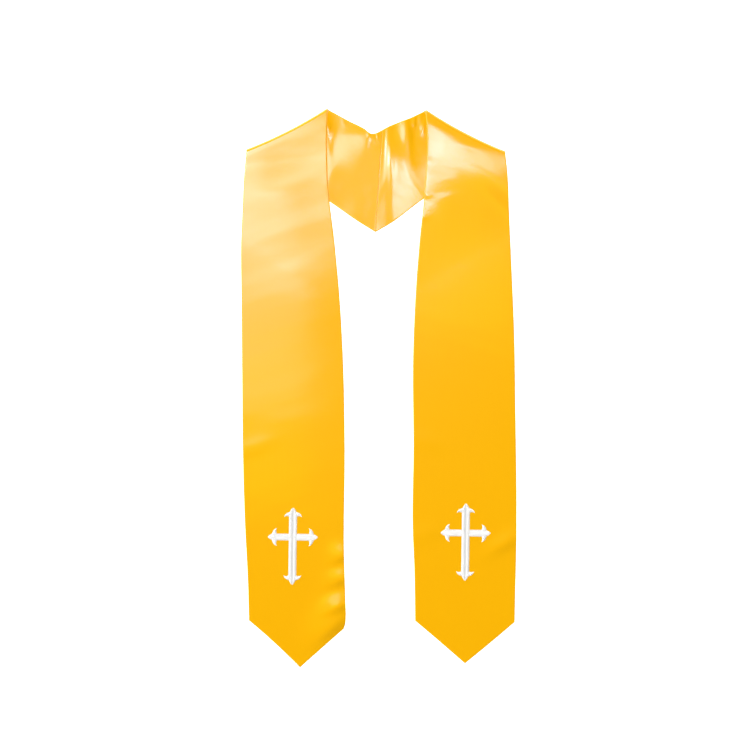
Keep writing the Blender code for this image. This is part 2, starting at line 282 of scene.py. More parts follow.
floor_mesh = bpy.data.meshes.new("floor")
corners = [(-1, -1), (1, -1), (1, 1), (-1, 1)]
floor_mesh.from_pydata(
    [(x * FLOOR_HALF, y * FLOOR_HALF, -FLOOR_GAP) for x, y in corners], [], [(0, 1, 2, 3)])
floor = bpy.data.objects.new("floor", floor_mesh)
scene.collection.objects.link(floor)
floor_paint = Recipe("floor_paint", Base_Color=FLOOR_WHITE, Roughness=0.9,
                     Emission_Color=FLOOR_WHITE, Emission_Strength=FLOOR_GLOW)
floor_mesh.materials.append(floor_paint.material)
print("floor:", 2 * FLOOR_HALF, "m wide")

# %% [markdown]
# Satin is woven so that its long warp threads float over several weft threads. They lie along
# the band and give the cloth its gloss. Close up they are fine lengthwise ribs, crossed by the
# faint steps where a warp thread dips under a weft thread. Every cloth piece carries a UV map in
# metres, across and along the band, so the threads follow the cloth over the fold. The gloss has
# two parts, as on real satin: a clear one from the tops of the threads, and a wide haze from
# their sides, which is the shader's coat. Modelled threads would need millions of faces, and at
# this distance stretched noise in a bump looks the same.

# %% Weave the satin
GOLD = (0.92, 0.458, 0.0, 1)
GOLD_DEEP = (0.91, 0.432, 0.0, 1)
SHEEN = (1.0, 0.76, 0.95, 1)
THREADS_PER_M = 2600
FLOATS_PER_M = 620
# How often each pattern changes in a metre, across the band and along it
WARP = (THREADS_PER_M, FLOATS_PER_M / 12, 1)
WEFT = (FLOATS_PER_M, THREADS_PER_M / 2, 1)
SLUBS = (260, 14, 1)
WAVES = (6, 22, 1)
CLOUDS = 9.0
UNEVEN = 0.03  # how much the roughness varies with the clouds and with the warp


def satin(name, roughness, haze):
    """Golden satin with its threads, faint slubs and a slight unevenness."""
    recipe = Recipe(name, IOR=1.9, Specular_IOR_Level=0.9, Specular_Tint=SHEEN,
                    Coat_Weight=haze, Coat_IOR=1.62, Coat_Roughness=0.32)
    uv = recipe.node("ShaderNodeUVMap", {"uv_map": "UVMap"}, {}).outputs["UV"]
    warp = recipe.stretched_noise(uv, WARP, detail=1.0)
    weft = recipe.stretched_noise(uv, WEFT, detail=1.0)
    slub = recipe.stretched_noise(uv, SLUBS, detail=3.0)
    swell = recipe.stretched_noise(uv, WAVES, detail=1.0)
    cloud = recipe.noise(uv, CLOUDS, detail=3.0)
    threads = warp * 0.6 + weft * 0.3 + slub * 0.35
    waves = recipe.bump(swell, strength=1.0, distance=0.5 * MM)
    recipe.drive(
        Base_Color=recipe.blend(cloud * 0.5 + slub * 0.5, GOLD, GOLD_DEEP),
        Roughness=roughness + (cloud - 0.5) * UNEVEN + (warp - 0.5) * UNEVEN,
        Normal=recipe.bump(threads, strength=0.1, distance=0.12 * MM, Normal=waves),
    )
    return recipe.material


face_satin = satin("gold_satin", roughness=0.11, haze=0.7)
lining_satin = satin("lining_satin", roughness=0.12, haze=0.45)
print("satin:", face_satin.name, lining_satin.name)

# %% [markdown]
# Each band is cut from the sizes of the solid under it. Its outline is four smooth lines: the
# neck edge and the lower edge of the back wing, and the inner and outer edge of the front panel.
# A panel stands off the wing under it, springs down from the fold over a certain length, and its
# hem is a little hollow or full on each side of the tip. The numbers are in millimetres, seen
# from above.

# %% Cut the outlines of both bands
SEAM_TOP = (4.7, 368.2)
SEAM_BOTTOM = (-4.9, 222.3)
OUTLINES = {
    "left": {
        "neck": [
            SEAM_TOP,
            (-5.9, 363.3),
            (-11.0, 363.1),
            (-20.7, 369.9),
            (-40.8, 380.2),
            (-73.6, 398.0),
        ],
        "back": [SEAM_BOTTOM, (-26.5, 235.4), (-67.9, 264.0), (-188.9, 339.4)],
        "inner": [
            (-73.6, 398.0),
            (-74.6, 339.3),
            (-73.1, 293.5),
            (-63.0, 203.4),
            (-55.9, 124.8),
            (-50.8, 27.5),
            (-48.8, -89.7),
            (-49.8, -232.7),
            (-47.8, -304.2),
            (-47.2, -327.1),
            (-47.9, -336.4),
            (-50.2, -344.3),
        ],
        "outer": [
            (-188.9, 339.4),
            (-191.8, 310.7),
            (-194.6, 256.3),
            (-196.9, 203.4),
            (-196.4, 124.8),
            (-195.6, 10.4),
            (-194.4, -104.0),
            (-191.9, -189.8),
            (-187.6, -275.6),
            (-186.0, -332.7),
        ],
        "tip": (-112.8, -400.0),
        "stand_off": 1.67,
        "spring": 121,
        "hem_hollow": (0.0, 1.8),
    },
    "right": {
        "neck": [
            SEAM_TOP,
            (10.7, 371.7),
            (30.7, 380.2),
            (45.0, 385.6),
            (53.6, 389.7),
            (66.5, 396.2),
        ],
        "back": [SEAM_BOTTOM, (16.4, 234.7), (60.8, 267.8), (179.9, 336.8)],
        "inner": [
            (66.5, 396.2),
            (68.8, 360.7),
            (65.9, 289.2),
            (57.3, 203.4),
            (51.7, 124.8),
            (48.5, 39.0),
            (49.2, -89.7),
            (47.8, -189.8),
            (50.6, -268.5),
            (51.5, -333.1),
        ],
        "outer": [
            (179.9, 336.8),
            (183.6, 303.5),
            (185.8, 256.3),
            (189.3, 179.1),
            (193.7, 67.6),
            (195.2, -32.5),
            (196.8, -161.2),
            (196.5, -225.6),
            (194.9, -297.1),
            (194.1, -335.0),
        ],
        "tip": (122.8, -394.3),
        "stand_off": 1.8,
        "spring": 73,
        "hem_hollow": (0.4, -0.6),
    },
}

# The layers: each wall of cloth, and the gap between face and lining
CLOTH = 1.0 * MM
SEAM_GAP = 0.3 * MM
HALF_BAND = CLOTH + SEAM_GAP / 2
# The fold over the shoulder: its radius and how far its middle sags down the picture
FOLD_RADIUS = 3.0 * MM
FOLD_SAG = 3.4 * MM
# Distances past the fold: where the sag fades, where the wing's ridges and the panel's swells
# start, and where the swells end
SAG_FADES = (2 * FOLD_RADIUS, 50 * MM)
RIDGES_START = (FOLD_RADIUS, 3 * FOLD_RADIUS)
SWELLS_START = (FOLD_RADIUS, 7 * FOLD_RADIUS)
SWELLS_END = (230 * MM, 360 * MM)
# Distance from the middle line from which the panel presses the wing flat
PRESSED = (74.5 * MM, 87 * MM)
# Distance past the wing's lower edge over which the panel comes down to the table
STEP_DOWN = (-12 * MM, 110 * MM)
# Share of the panel's length from which its rungs turn into the point
POINT_STARTS = 0.72
print("bands:", list(OUTLINES))

# %% [markdown]
# Creases are listed in tables. Each row is a soft ridge, or a trough where its height is negative:
# its middle, the way it runs in degrees, half its length, half its width on its left and on its
# right, and its height. The tables are those of the solids, apart from one small ridge that is
# lower here.

# %% Place the creases
# wing: the lining of the back wings, which bags a little over the flat face under it
WING_RIDGES = [
    (-10.2, 347.2, 71.7, 47, 29.0, 142.0, 1.79),
    (-49.8, 355.4, 13.1, 21, 14.6, 135.0, 0.51),
    (-17.8, 358.6, 82.8, 15, 31.4, 5.7, 0.62),
    (-74.0, 371.4, 94.4, 37, 10.0, 4.5, 0.55),
    (-76.9, 376.3, 109.2, 16, 20.6, 8.4, 1.57),
    (-74.1, 292.9, 59.7, 31, 15.6, 24.9, 1.62),
    (8.0, 289.1, 73.8, 253, 6.6, 34.4, 0.31),
    (16.9, 326.9, 91.2, 28, 3.6, 5.4, 0.35),
    (12.0, 360.7, 87.4, 42, 2.0, 6.4, 0.33),
    (20.1, 264.4, 92.1, 117, 7.3, 100.0, 0.32),
    (40.6, 303.7, -58.9, 56, 19.3, 119.0, 1.57),
    (39.8, 368.9, 94.3, 33, 9.0, 6.5, 1.59),
]
# gather: small gathers of the lining along the seam of the neck edge
GATHERS = [
    (-50.0, 380.0, -75.0, 8, 3.6, 3.6, 0.10),
    (-14.0, 360.0, -68.0, 7, 2.6, 2.2, 0.34),
    (-8.0, 357.0, -76.0, 8, 2.4, 2.0, 0.34),
    (-2.0, 358.0, -84.0, 8, 2.2, 2.0, 0.30),
    (50.0, 380.0, 84.0, 9, 4.0, 3.0, 0.80),
    (59.0, 384.0, 80.0, 8, 3.0, 2.5, 0.55),
    (64.0, 374.0, 78.0, 11, 4.5, 4.0, 0.90),
]
# swell: both layers of a panel, which lies over the wing in soft swells
SWELLS = {
    "left": [
        (-38.7, 325.8, 232.3, 56, 118.0, 43.2, 2.30),
        (-150.2, 322.2, 6.1, 131, 21.2, 91.2, -1.02),
        (-180.8, 313.8, 107.4, 39, 45.5, 30.1, 0.61),
        (-198.2, 218.2, 22.1, 70, 60.0, 32.7, 1.62),
        (-154.7, 172.4, -21.1, 464, 56.9, 94.9, 1.91),
        (-142.8, 274.0, 7.4, 48, 23.4, 93.2, 1.02),
    ],
    "right": [
        (73.9, 380.7, -29.7, 39, 4.0, 5.3, 0.47),
        (203.5, 344.5, -1.0, 63, 5.4, 7.8, 0.66),
        (76.2, 317.9, 67.9, 84, 149.0, 11.1, 0.09),
        (72.1, 301.5, -0.5, 67, 90.3, 21.0, 0.81),
        (220.7, 244.6, -132.3, 16, 80.0, 72.5, 2.68),
        (86.6, 269.1, 13.7, 21, 5.6, 30.7, 0.52),
    ],
}
# edge: both layers, where an edge or a corner has lifted off the table
EDGE_RIDGES = [
    (-52.0, -240.0, 20.0, 18, 16.0, 7.5, 2.4),
    (-53.0, -273.0, 18.0, 21, 16.0, 8.0, 2.8),
    (-58.0, -311.0, 24.0, 25, 18.0, 8.0, 3.0),
    (-66.0, -338.0, 40.0, 34, 22.0, 13.0, 4.0),
    (180.0, -222.0, 30.0, 28, 12.0, 9.0, 1.6),
    (-179.4, -85.4, 18.0, 30, 12.0, 12.0, 0.5),
    (63.6, -75.4, -20.0, 28, 12.0, 12.0, 0.6),
    (61.6, -209.4, 16.0, 26, 12.0, 12.0, 0.6),
    (70.0, 323.0, 4.0, 8, 4.0, 4.0, 0.12),  # 0.35 in the solids
    (70.0, 275.0, -4.0, 9, 5.0, 5.0, 0.50),
    (64.0, 243.0, 0.0, 9, 4.0, 4.0, 0.30),
]


def layer_ridges(kind, side):
    """The ridges of one layer: only the lining of a wing bags."""
    return {"wing": WING_RIDGES + GATHERS if kind == "lining" else [], "swell": SWELLS[side]}


print("creases:", sum(len(t) for t in (WING_RIDGES, GATHERS, *SWELLS.values(), EDGE_RIDGES)))

# %% [markdown]
# A smooth line through a few points is all that an edge needs. It passes through every point and
# turns evenly between them, which a spline that only comes near its points wouldn't do.

# %% Draw smooth edges
def smooth_step(value, start, end):
    """From 0 at the start to 1 at the end, and level at both."""
    share = np.clip((value - start) / (end - start), 0, 1)
    return share * share * (3 - 2 * share)


def smooth_line(points_mm):
    """A function from shares between 0 and 1 to places on a smooth line through the points."""
    points = np.array(points_mm) * MM
    spans = np.linalg.norm(np.diff(points, axis=0), axis=1)
    slopes = np.diff(points, axis=0) / spans[:, None]
    before, after = spans[:-1, None], spans[1:, None]
    inside = (slopes[:-1] * after + slopes[1:] * before) / (before + after)
    tangents = np.vstack([slopes[:1], inside, slopes[-1:]])
    starts = np.concatenate([[0], np.cumsum(spans)])

    def at(shares):
        along = np.clip(shares, 0, 1) * starts[-1]
        i = np.clip(np.searchsorted(starts, along, side="right") - 1, 0, len(spans) - 1)
        t = ((along - starts[i]) / spans[i])[..., None]
        span = spans[i][..., None]
        start = points[i] * (1 + 2 * t) + tangents[i] * span * t
        end = points[i + 1] * (3 - 2 * t) - tangents[i + 1] * span * (1 - t)
        return start * (1 - t) ** 2 + end * t**2

    return at


def relief(place, ridges):
    """How far soft ridges lift the cloth at places on the table."""
    height = np.zeros(place.shape[:-1])
    for mid_x, mid_y, heading, half_length, left_width, right_width, top in ridges:
        away_x, away_y = place[..., 0] / MM - mid_x, place[..., 1] / MM - mid_y
        cos, sin = math.cos(math.radians(heading)), math.sin(math.radians(heading))
        along = (away_x * cos + away_y * sin) / half_length
        leftwards = away_y * cos - away_x * sin
        across = leftwards / np.where(leftwards > 0, left_width, right_width)
        height += top * MM * np.exp(-(along**2) - across**2)
    return height


middle_of_neck = smooth_line(OUTLINES["left"]["neck"])(np.array(0.5))
print("middle of the left neck edge in mm:", (middle_of_neck / MM).round(1))

# %% [markdown]
# The band is described by rungs that cross it, from the back seam to the point. The wing's rungs
# fan out from the seam, the fold's rungs roll over the shoulder, and the panel's rungs sink onto
# the wing, step down to the table and turn into the pointed hem. A cloth simulation would find
# folds of its own, but the photograph's folds have their places, so they are listed one by one.

# %% Lay out a band
START, END = np.array(0.0), np.array(1.0)  # both ends of a smooth line
SLANT_FROM = np.array(0.02)  # the share of an edge that gives its slant at the fold
SEAM_CLOSED = 0.03 * MM  # how far the back seam keeps each band from the middle


class Band:
    """Where the middle of one band lies, for shares across it and rungs along it."""

    def __init__(self, outline):
        self.neck, self.back = smooth_line(outline["neck"]), smooth_line(outline["back"])
        self.inner, self.outer = smooth_line(outline["inner"]), smooth_line(outline["outer"])
        self.tip = np.array(outline["tip"]) * MM
        self.hem_hollow = np.array(outline["hem_hollow"]) * MM
        self.spring = outline["spring"] * MM
        self.stand_off = outline["stand_off"] * MM
        self.neck_end, self.shoulder_end = self.inner(START), self.outer(START)
        run = self.shoulder_end - self.neck_end
        self.fold = run / np.linalg.norm(run)
        self.inward = self.downwards(self.fold)
        self.seam_top = np.array(SEAM_TOP) * MM
        self.wing_edge = np.array(outline["back"][-2]) * MM
        run = self.shoulder_end - self.wing_edge
        self.off_wing = self.downwards(run / np.linalg.norm(run))

    @staticmethod
    def downwards(unit):
        """The unit vector square to another one that points down the picture."""
        square = np.array([unit[1], -unit[0]])
        return square if square[1] < 0 else -square

    def past_fold(self, place):
        """How far down the picture a place lies from the fold's line."""
        return (place - self.neck_end) @ self.inward

    def sag(self, place, across):
        """How far the middle of a rung near the fold hangs down the picture."""
        spread = 1 - smooth_step(self.past_fold(place), *SAG_FADES)
        return self.inward * (FOLD_SAG * 4 * across * (1 - across) * spread)[..., None]

    def slant(self, edge):
        """How far an edge goes along the fold for each length that it goes away from it."""
        run = edge(SLANT_FROM) - edge(START)
        return (run @ self.fold) / (run @ self.inward)

    def wing_lift(self, place, ridges):
        """The ridges of the wing, flat at the fold and where the panel presses on it."""
        held = smooth_step(self.past_fold(place), *RIDGES_START)
        pressed = smooth_step(np.abs(place[..., 0]), *PRESSED)
        return relief(place, ridges) * held * (1 - pressed)

    def wing(self, shares, across, ridges, side_sign):
        """The places and heights of the wing's rungs, from the seam to the fold."""
        top, bottom = self.neck(shares)[:, None], self.back(shares)[:, None]
        place = top + (bottom - top) * across[None, :, None]
        place = place + np.array([side_sign * SEAM_CLOSED, 0]) * (1 - shares)[:, None, None]
        place = place + self.sag(place, across[None, :])
        return place, HALF_BAND + self.wing_lift(place, ridges["wing"])

    def roll(self, turns, across):
        """The rungs that roll over the shoulder, for turns from one level side to the other."""
        over = FOLD_RADIUS * turns / (math.pi / 2)
        inset = FOLD_RADIUS * (1 - np.cos(turns))
        before = [-self.slant(lambda s: edge(1 - s)) for edge in (self.neck, self.back)]
        after = [self.slant(edge) for edge in (self.inner, self.outer)]
        ends = []
        corners = (self.neck_end, self.shoulder_end)
        for corner, slant_before, slant_after in zip(corners, before, after):
            slant = np.where(over < 0, slant_before, slant_after)
            ends.append(corner + np.outer(slant * over, self.fold) + np.outer(inset, self.inward))
        place = ends[0][:, None] + (ends[1] - ends[0])[:, None] * across[None, :, None]
        place = place + self.sag(place, across[None, :])
        height = HALF_BAND + FOLD_RADIUS * (1 + np.sin(turns))
        return place, np.repeat(height[:, None], len(across), axis=1)

    def panel(self, shares, across, ridges):
        """The places and heights of the panel's rungs, from the fold to the pointed hem."""
        inner, outer = self.inner(shares)[:, None], self.outer(shares)[:, None]
        point = np.clip((shares - POINT_STARTS) / (1 - POINT_STARTS), 0, 1) ** 2
        drop = (self.tip - (self.inner(END) + self.outer(END)) / 2) * point[:, None]
        slant = np.abs(2 * across - 1)
        place = inner + (outer - inner) * across[None, :, None]
        place = place + drop[:, None] * (1 - slant)[None, :, None]
        hollow = np.where(across < 0.5, *self.hem_hollow) * 4 * slant * (1 - slant)
        place[..., 1] += hollow[None, :] * point[:, None]
        place = place + self.sag(place, across[None, :])
        return place, self.panel_height(place, ridges)

    def panel_height(self, place, ridges):
        """The panel's middle: on the wing near the fold, and on the table further down."""
        on_wing = 1 - smooth_step((place - self.wing_edge) @ self.off_wing, *STEP_DOWN)
        below = (2 * HALF_BAND + self.stand_off) * on_wing
        spring = 1 - smooth_step(self.past_fold(place), FOLD_RADIUS, self.spring)
        lift = below + (2 * FOLD_RADIUS - below) * spring
        shown = smooth_step(self.past_fold(place), *SWELLS_START)
        shown = shown * (1 - smooth_step(self.past_fold(place), *SWELLS_END))
        lift = lift + relief(place, ridges["swell"]) * shown
        return HALF_BAND + lift + relief(place, EDGE_RIDGES)


BANDS = {side: Band(outline) for side, outline in OUTLINES.items()}
for side, band in BANDS.items():
    print(side, "fold in mm:", round(math.dist(band.neck_end, band.shoulder_end) / MM, 1))

# %% [markdown]
# The grid of rungs is finer where the cloth turns: at both long edges, at the seam and at the
# hem, where face and lining roll round to meet in the seam that joins them.

# %% Choose where the rungs and columns lie
EDGE_STEPS = np.array([0, 0.15, 0.45, 0.85, 1.35, 2.1, 3.2]) * MM
BAND_WIDTH = 140 * MM
COARSENESS = 1.0
COLUMN_STEP = 2.5 * MM
WING_RUNGS, ROLL_RUNGS, PANEL_RUNGS = 95, 17, 310
# How far before and past the fold's line the wing's last and the panel's first rung lie
WING_STOPS, PANEL_STARTS = 1.2 * FOLD_RADIUS, 1.5 * FOLD_RADIUS


def eased_to_edges(length, step):
    """Distances along a length that crowd at both ends and are a step apart between."""
    count = 2 * round(length / step / 2) + 1
    middle = np.linspace(EDGE_STEPS[-1], length - EDGE_STEPS[-1], count)
    return np.concatenate([EDGE_STEPS[:-1], middle, (length - EDGE_STEPS[:-1])[::-1]])


def band_grid(band, ridges, side_sign):
    """The places and heights of the middle of a band, a row for each rung."""
    across = eased_to_edges(BAND_WIDTH, COLUMN_STEP * COARSENESS) / BAND_WIDTH
    neck_length = np.linalg.norm(band.neck_end - band.seam_top)
    wing_start = EDGE_STEPS[-1] / neck_length
    wing_end = 1 - WING_STOPS / band.past_fold(band.seam_top)
    wing_shares = np.concatenate([
        EDGE_STEPS[:-1] / (2 * neck_length),
        np.linspace(wing_start, wing_end, round(WING_RUNGS / COARSENESS)),
    ])
    panel_length = np.linalg.norm(band.inner(END) - band.neck_end)
    panel_start, panel_end = PANEL_STARTS / panel_length, 1 - EDGE_STEPS[-1] / panel_length
    panel_shares = np.concatenate([
        np.linspace(panel_start, panel_end, round(PANEL_RUNGS / COARSENESS)),
        1 - (EDGE_STEPS[:-1] / panel_length)[::-1],
    ])
    turns = np.linspace(-math.pi / 2, math.pi / 2, ROLL_RUNGS)
    parts = [
        band.wing(wing_shares, across, ridges, side_sign),
        band.roll(turns, across),
        band.panel(panel_shares, across, ridges),
    ]
    places = np.concatenate([p for p, _ in parts])
    heights = np.concatenate([h for _, h in parts])
    return np.dstack([places, heights])


print("edge steps in mm:", (EDGE_STEPS / MM).round(2).tolist())
print("column step in mm:", round(COLUMN_STEP * COARSENESS / MM, 2))

# %% [markdown]
# A layer is a thin shell a little above or below the band's middle. Near an edge it curves in
# towards the middle, so that face and lining meet in a rounded edge with a fine seam line, as
# cloth does that was sewn inside out and turned.

# %% Build the four layers of satin
SHELL = 0.35 * MM  # thickness of a visible layer
EDGE_ROUNDING = 1.15 * MM
SEAM_ROUNDING = 0.7 * MM
RIM = SEAM_GAP / 4  # distance of a layer from the band's middle at an edge
HEM_SLANT = 0.75  # distance from the slanting hem for each length along the band


def rounded(distance, radius):
    """From 0 at an edge to 1 past the radius, on a quarter circle."""
    share = np.clip(distance / radius, 0, 1)
    return np.sqrt(1 - (1 - share) ** 2)


def lengths_along(grid, axis):
    """Lengths from the first row or column of a grid of points to each of its points."""
    steps = np.linalg.norm(np.diff(grid, axis=axis), axis=2)
    zero = np.zeros_like(np.take(steps, [0], axis=axis))
    return np.concatenate([zero, np.cumsum(steps, axis=axis)], axis=axis)


def normals(grid):
    """Unit normals of a grid of points."""
    down, right = np.gradient(grid, axis=0), np.gradient(grid, axis=1)
    square = np.cross(down, right)
    return square / np.linalg.norm(square, axis=2, keepdims=True)


def grid_area(grid):
    down, right = grid[1:, :-1] - grid[:-1, :-1], grid[:-1, 1:] - grid[:-1, :-1]
    return float(np.sum(np.linalg.norm(np.cross(down, right), axis=2)))


def grid_faces(grid, out):
    """The four-sided faces of a grid, as rows of point numbers that turn to the side out."""
    rows, columns = grid.shape[:2]
    index = np.arange(rows * columns).reshape(rows, columns)
    corners = (index[:-1, :-1], index[1:, :-1], index[1:, 1:], index[:-1, 1:])
    faces = np.stack(corners, axis=-1).reshape(-1, 4)
    # One face of the hem tells which way round they all are
    up, right = grid[-2, 5] - grid[-1, 5], grid[-1, 6] - grid[-1, 5]
    return faces[:, ::-1] if np.dot(np.cross(up, right), out[-1, 5]) > 0 else faces


def add_layer(name, side, above, ridges, finish):
    """Adds one layer of satin, and gives it back with its area and its length."""
    side_sign = -1 if side == "left" else 1
    middle = band_grid(BANDS[side], ridges, side_sign)
    out = normals(middle)
    # On the panel, a face points up, and its wing then points down to the table
    if out[-len(out) // 3, out.shape[1] // 2, 2] < 0:
        out = -out
    out = out * (1 if above else -1)
    across, along = lengths_along(middle, 1), lengths_along(middle, 0)
    width, length = across[:, -1:], along[-1:, :]
    form = rounded(across, EDGE_ROUNDING) * rounded(width - across, EDGE_ROUNDING)
    form = form * rounded(along, SEAM_ROUNDING)
    form = form * rounded((length - along) * HEM_SLANT, EDGE_ROUNDING)
    points = middle + out * (RIM + (HALF_BAND - RIM) * form)[..., None]
    mesh = bpy.data.meshes.new(name)
    mesh.from_pydata(points.reshape(-1, 3).tolist(), [], grid_faces(middle, out).tolist())
    # The map counts lengths from a rung square to the band, so that weft threads lie square too
    straight = along - along[len(along) // 2]
    uv = np.stack([across, straight - straight.min()], axis=-1).reshape(-1, 2)
    layer_uv = mesh.uv_layers.new(name="UVMap")
    corner = np.zeros(len(mesh.loops), dtype=np.int32)
    mesh.loops.foreach_get("vertex_index", corner)
    layer_uv.data.foreach_set("uv", uv[corner].ravel())
    mesh.materials.append(finish)
    mesh.shade_smooth()
    layer = bpy.data.objects.new(name, mesh)
    scene.collection.objects.link(layer)
    wall = layer.modifiers.new("Wall", "SOLIDIFY")
    wall.thickness = SHELL
    wall.offset = -1
    area, longest = grid_area(middle), float(along[-1].max())
    print(name, "rungs and columns", form.shape, "area", round(area, 4), "m2",
          "length", round(longest, 3), "m")
    return layer, area, longest


LAYERS = {}
for side in ("left", "right"):
    for kind in ("face", "lining"):
        ridges = layer_ridges(kind, side)
        finish = face_satin if kind == "face" else lining_satin
        name = f"satin_{kind}_{side}"
        LAYERS[kind, side] = add_layer(name, side, kind == "face", ridges, finish)

# %% [markdown]
# The crosses are machine embroidery. A pad of stitches gives each one its height, and over it
# lie satin stitches, side by side. On the upright they run outwards from a middle line, which
# shows as a fine groove. The pad is a flat outline, thickened and rounded.

# %% Shape the cross
# In mm: how far the arms reach from the cross's middle, and half the width of both bars
CROSS_UP, CROSS_DOWN, CROSS_SIDE = 42.1, 68.0, 36.0
POST_HALF, BAR_HALF = 5.5, 4.7
CROSSES = {
    "left": {"at": (-123.1, -213.4), "lean": -0.8},
    "right": {"at": (123.8, -207.6), "lean": -0.8},
}
# Each arm's length, half its width and its heading in degrees
ARMS = {
    "right": (CROSS_SIDE, BAR_HALF, 0),
    "up": (CROSS_UP, POST_HALF, 90),
    "left": (CROSS_SIDE, BAR_HALF, 180),
    "down": (CROSS_DOWN, POST_HALF, 270),
}
# Half an arm's end: distances out from the arm's middle line and back from its tip
LANCE = [(0.0, 0.0), (1.6, 1.8), (3.4, 4.3), (4.2, 6.3)]
LEAF = [(6.0, 6.8), (8.8, 7.9), (11.2, 10.0), (12.7, 13.2), (10.5, 12.2), (8.2, 12.0)]
LEAF_TIP = 3  # the place of the leaf's tip in that list
LEAF_ROOT = 13.2
PAD_HEIGHT = 0.8
PAD_INSET = 0.35
PAD_GAP = 0.02
CLOTH_TOP = 2 * HALF_BAND / MM


def turned(out, along, heading):
    """A place beside an arm, in the cross's own millimetres."""
    cos, sin = math.cos(math.radians(heading)), math.sin(math.radians(heading))
    return (along * cos - out * sin, along * sin + out * cos)


def cross_outline():
    """The outline of a whole cross, arm by arm."""
    outline = []
    for arm, half_width, heading in ARMS.values():
        half = [(half_width, arm - LEAF_ROOT)]
        half += [(out, arm - back) for out, back in reversed(LANCE + LEAF)]
        end = [(-out, along) for out, along in half] + half[-2::-1]
        outline += [turned(out, along, heading) for out, along in end]
        other_half = POST_HALF if half_width == BAR_HALF else BAR_HALF
        outline.append(turned(half_width, other_half, heading))
    return outline


def on_panel(x, y, z, place):
    """A point of a cross, in metres, where the cross lies on its panel."""
    lean = math.radians(place["lean"])
    x, y = x * math.cos(lean) - y * math.sin(lean), x * math.sin(lean) + y * math.cos(lean)
    return ((x + place["at"][0]) * MM, (y + place["at"][1]) * MM, (z + CLOTH_TOP) * MM)


def evaluated(piece):
    """A mesh of its own from a curve or from a piece with modifiers."""
    graph = bpy.context.evaluated_depsgraph_get()
    return bpy.data.meshes.new_from_object(piece.evaluated_get(graph))


def add_pad(name, place, finish):
    """The raised pad under the stitches: the cross's outline, thickened and rounded."""
    curve = bpy.data.curves.new(name, "CURVE")
    curve.dimensions = "2D"
    curve.fill_mode = "BOTH"
    curve.bevel_depth = PAD_INSET * MM
    curve.bevel_resolution = 2
    # The bevel widens the outline, so the outline is drawn in by more than that
    curve.offset = -2 * PAD_INSET * MM
    curve.extrude = (PAD_HEIGHT / 2 - PAD_INSET) * MM
    outline = cross_outline()
    spline = curve.splines.new("POLY")
    spline.points.add(len(outline) - 1)
    for point, (x, y) in zip(spline.points, outline):
        point.co = (x * MM, y * MM, 0, 1)
    spline.use_cyclic_u = True
    drawn = bpy.data.objects.new(name, curve)
    scene.collection.objects.link(drawn)
    mesh = evaluated(drawn)
    bpy.data.objects.remove(drawn)
    for vertex in mesh.vertices:
        x, y, z = (c / MM for c in vertex.co)
        vertex.co = on_panel(x, y, z + PAD_HEIGHT / 2 + PAD_GAP, place)
    mesh.name = name
    mesh.materials.clear()
    mesh.materials.append(finish)
    pad = bpy.data.objects.new(name, mesh)
    scene.collection.objects.link(pad)
    print(name, "faces", len(mesh.polygons))
    return pad


print("points of a cross's outline:", len(cross_outline()))

# %% [markdown]
# Every stitch is a short thread between two points. The nodes below take a mesh of such pairs of
# points, bend each pair into a low arch that dives into the cloth at both ends, and give it the
# thickness of the thread. A striped bump would be lighter, but real threads catch the light on
# their own sides. One tree serves the crosses and the seam.

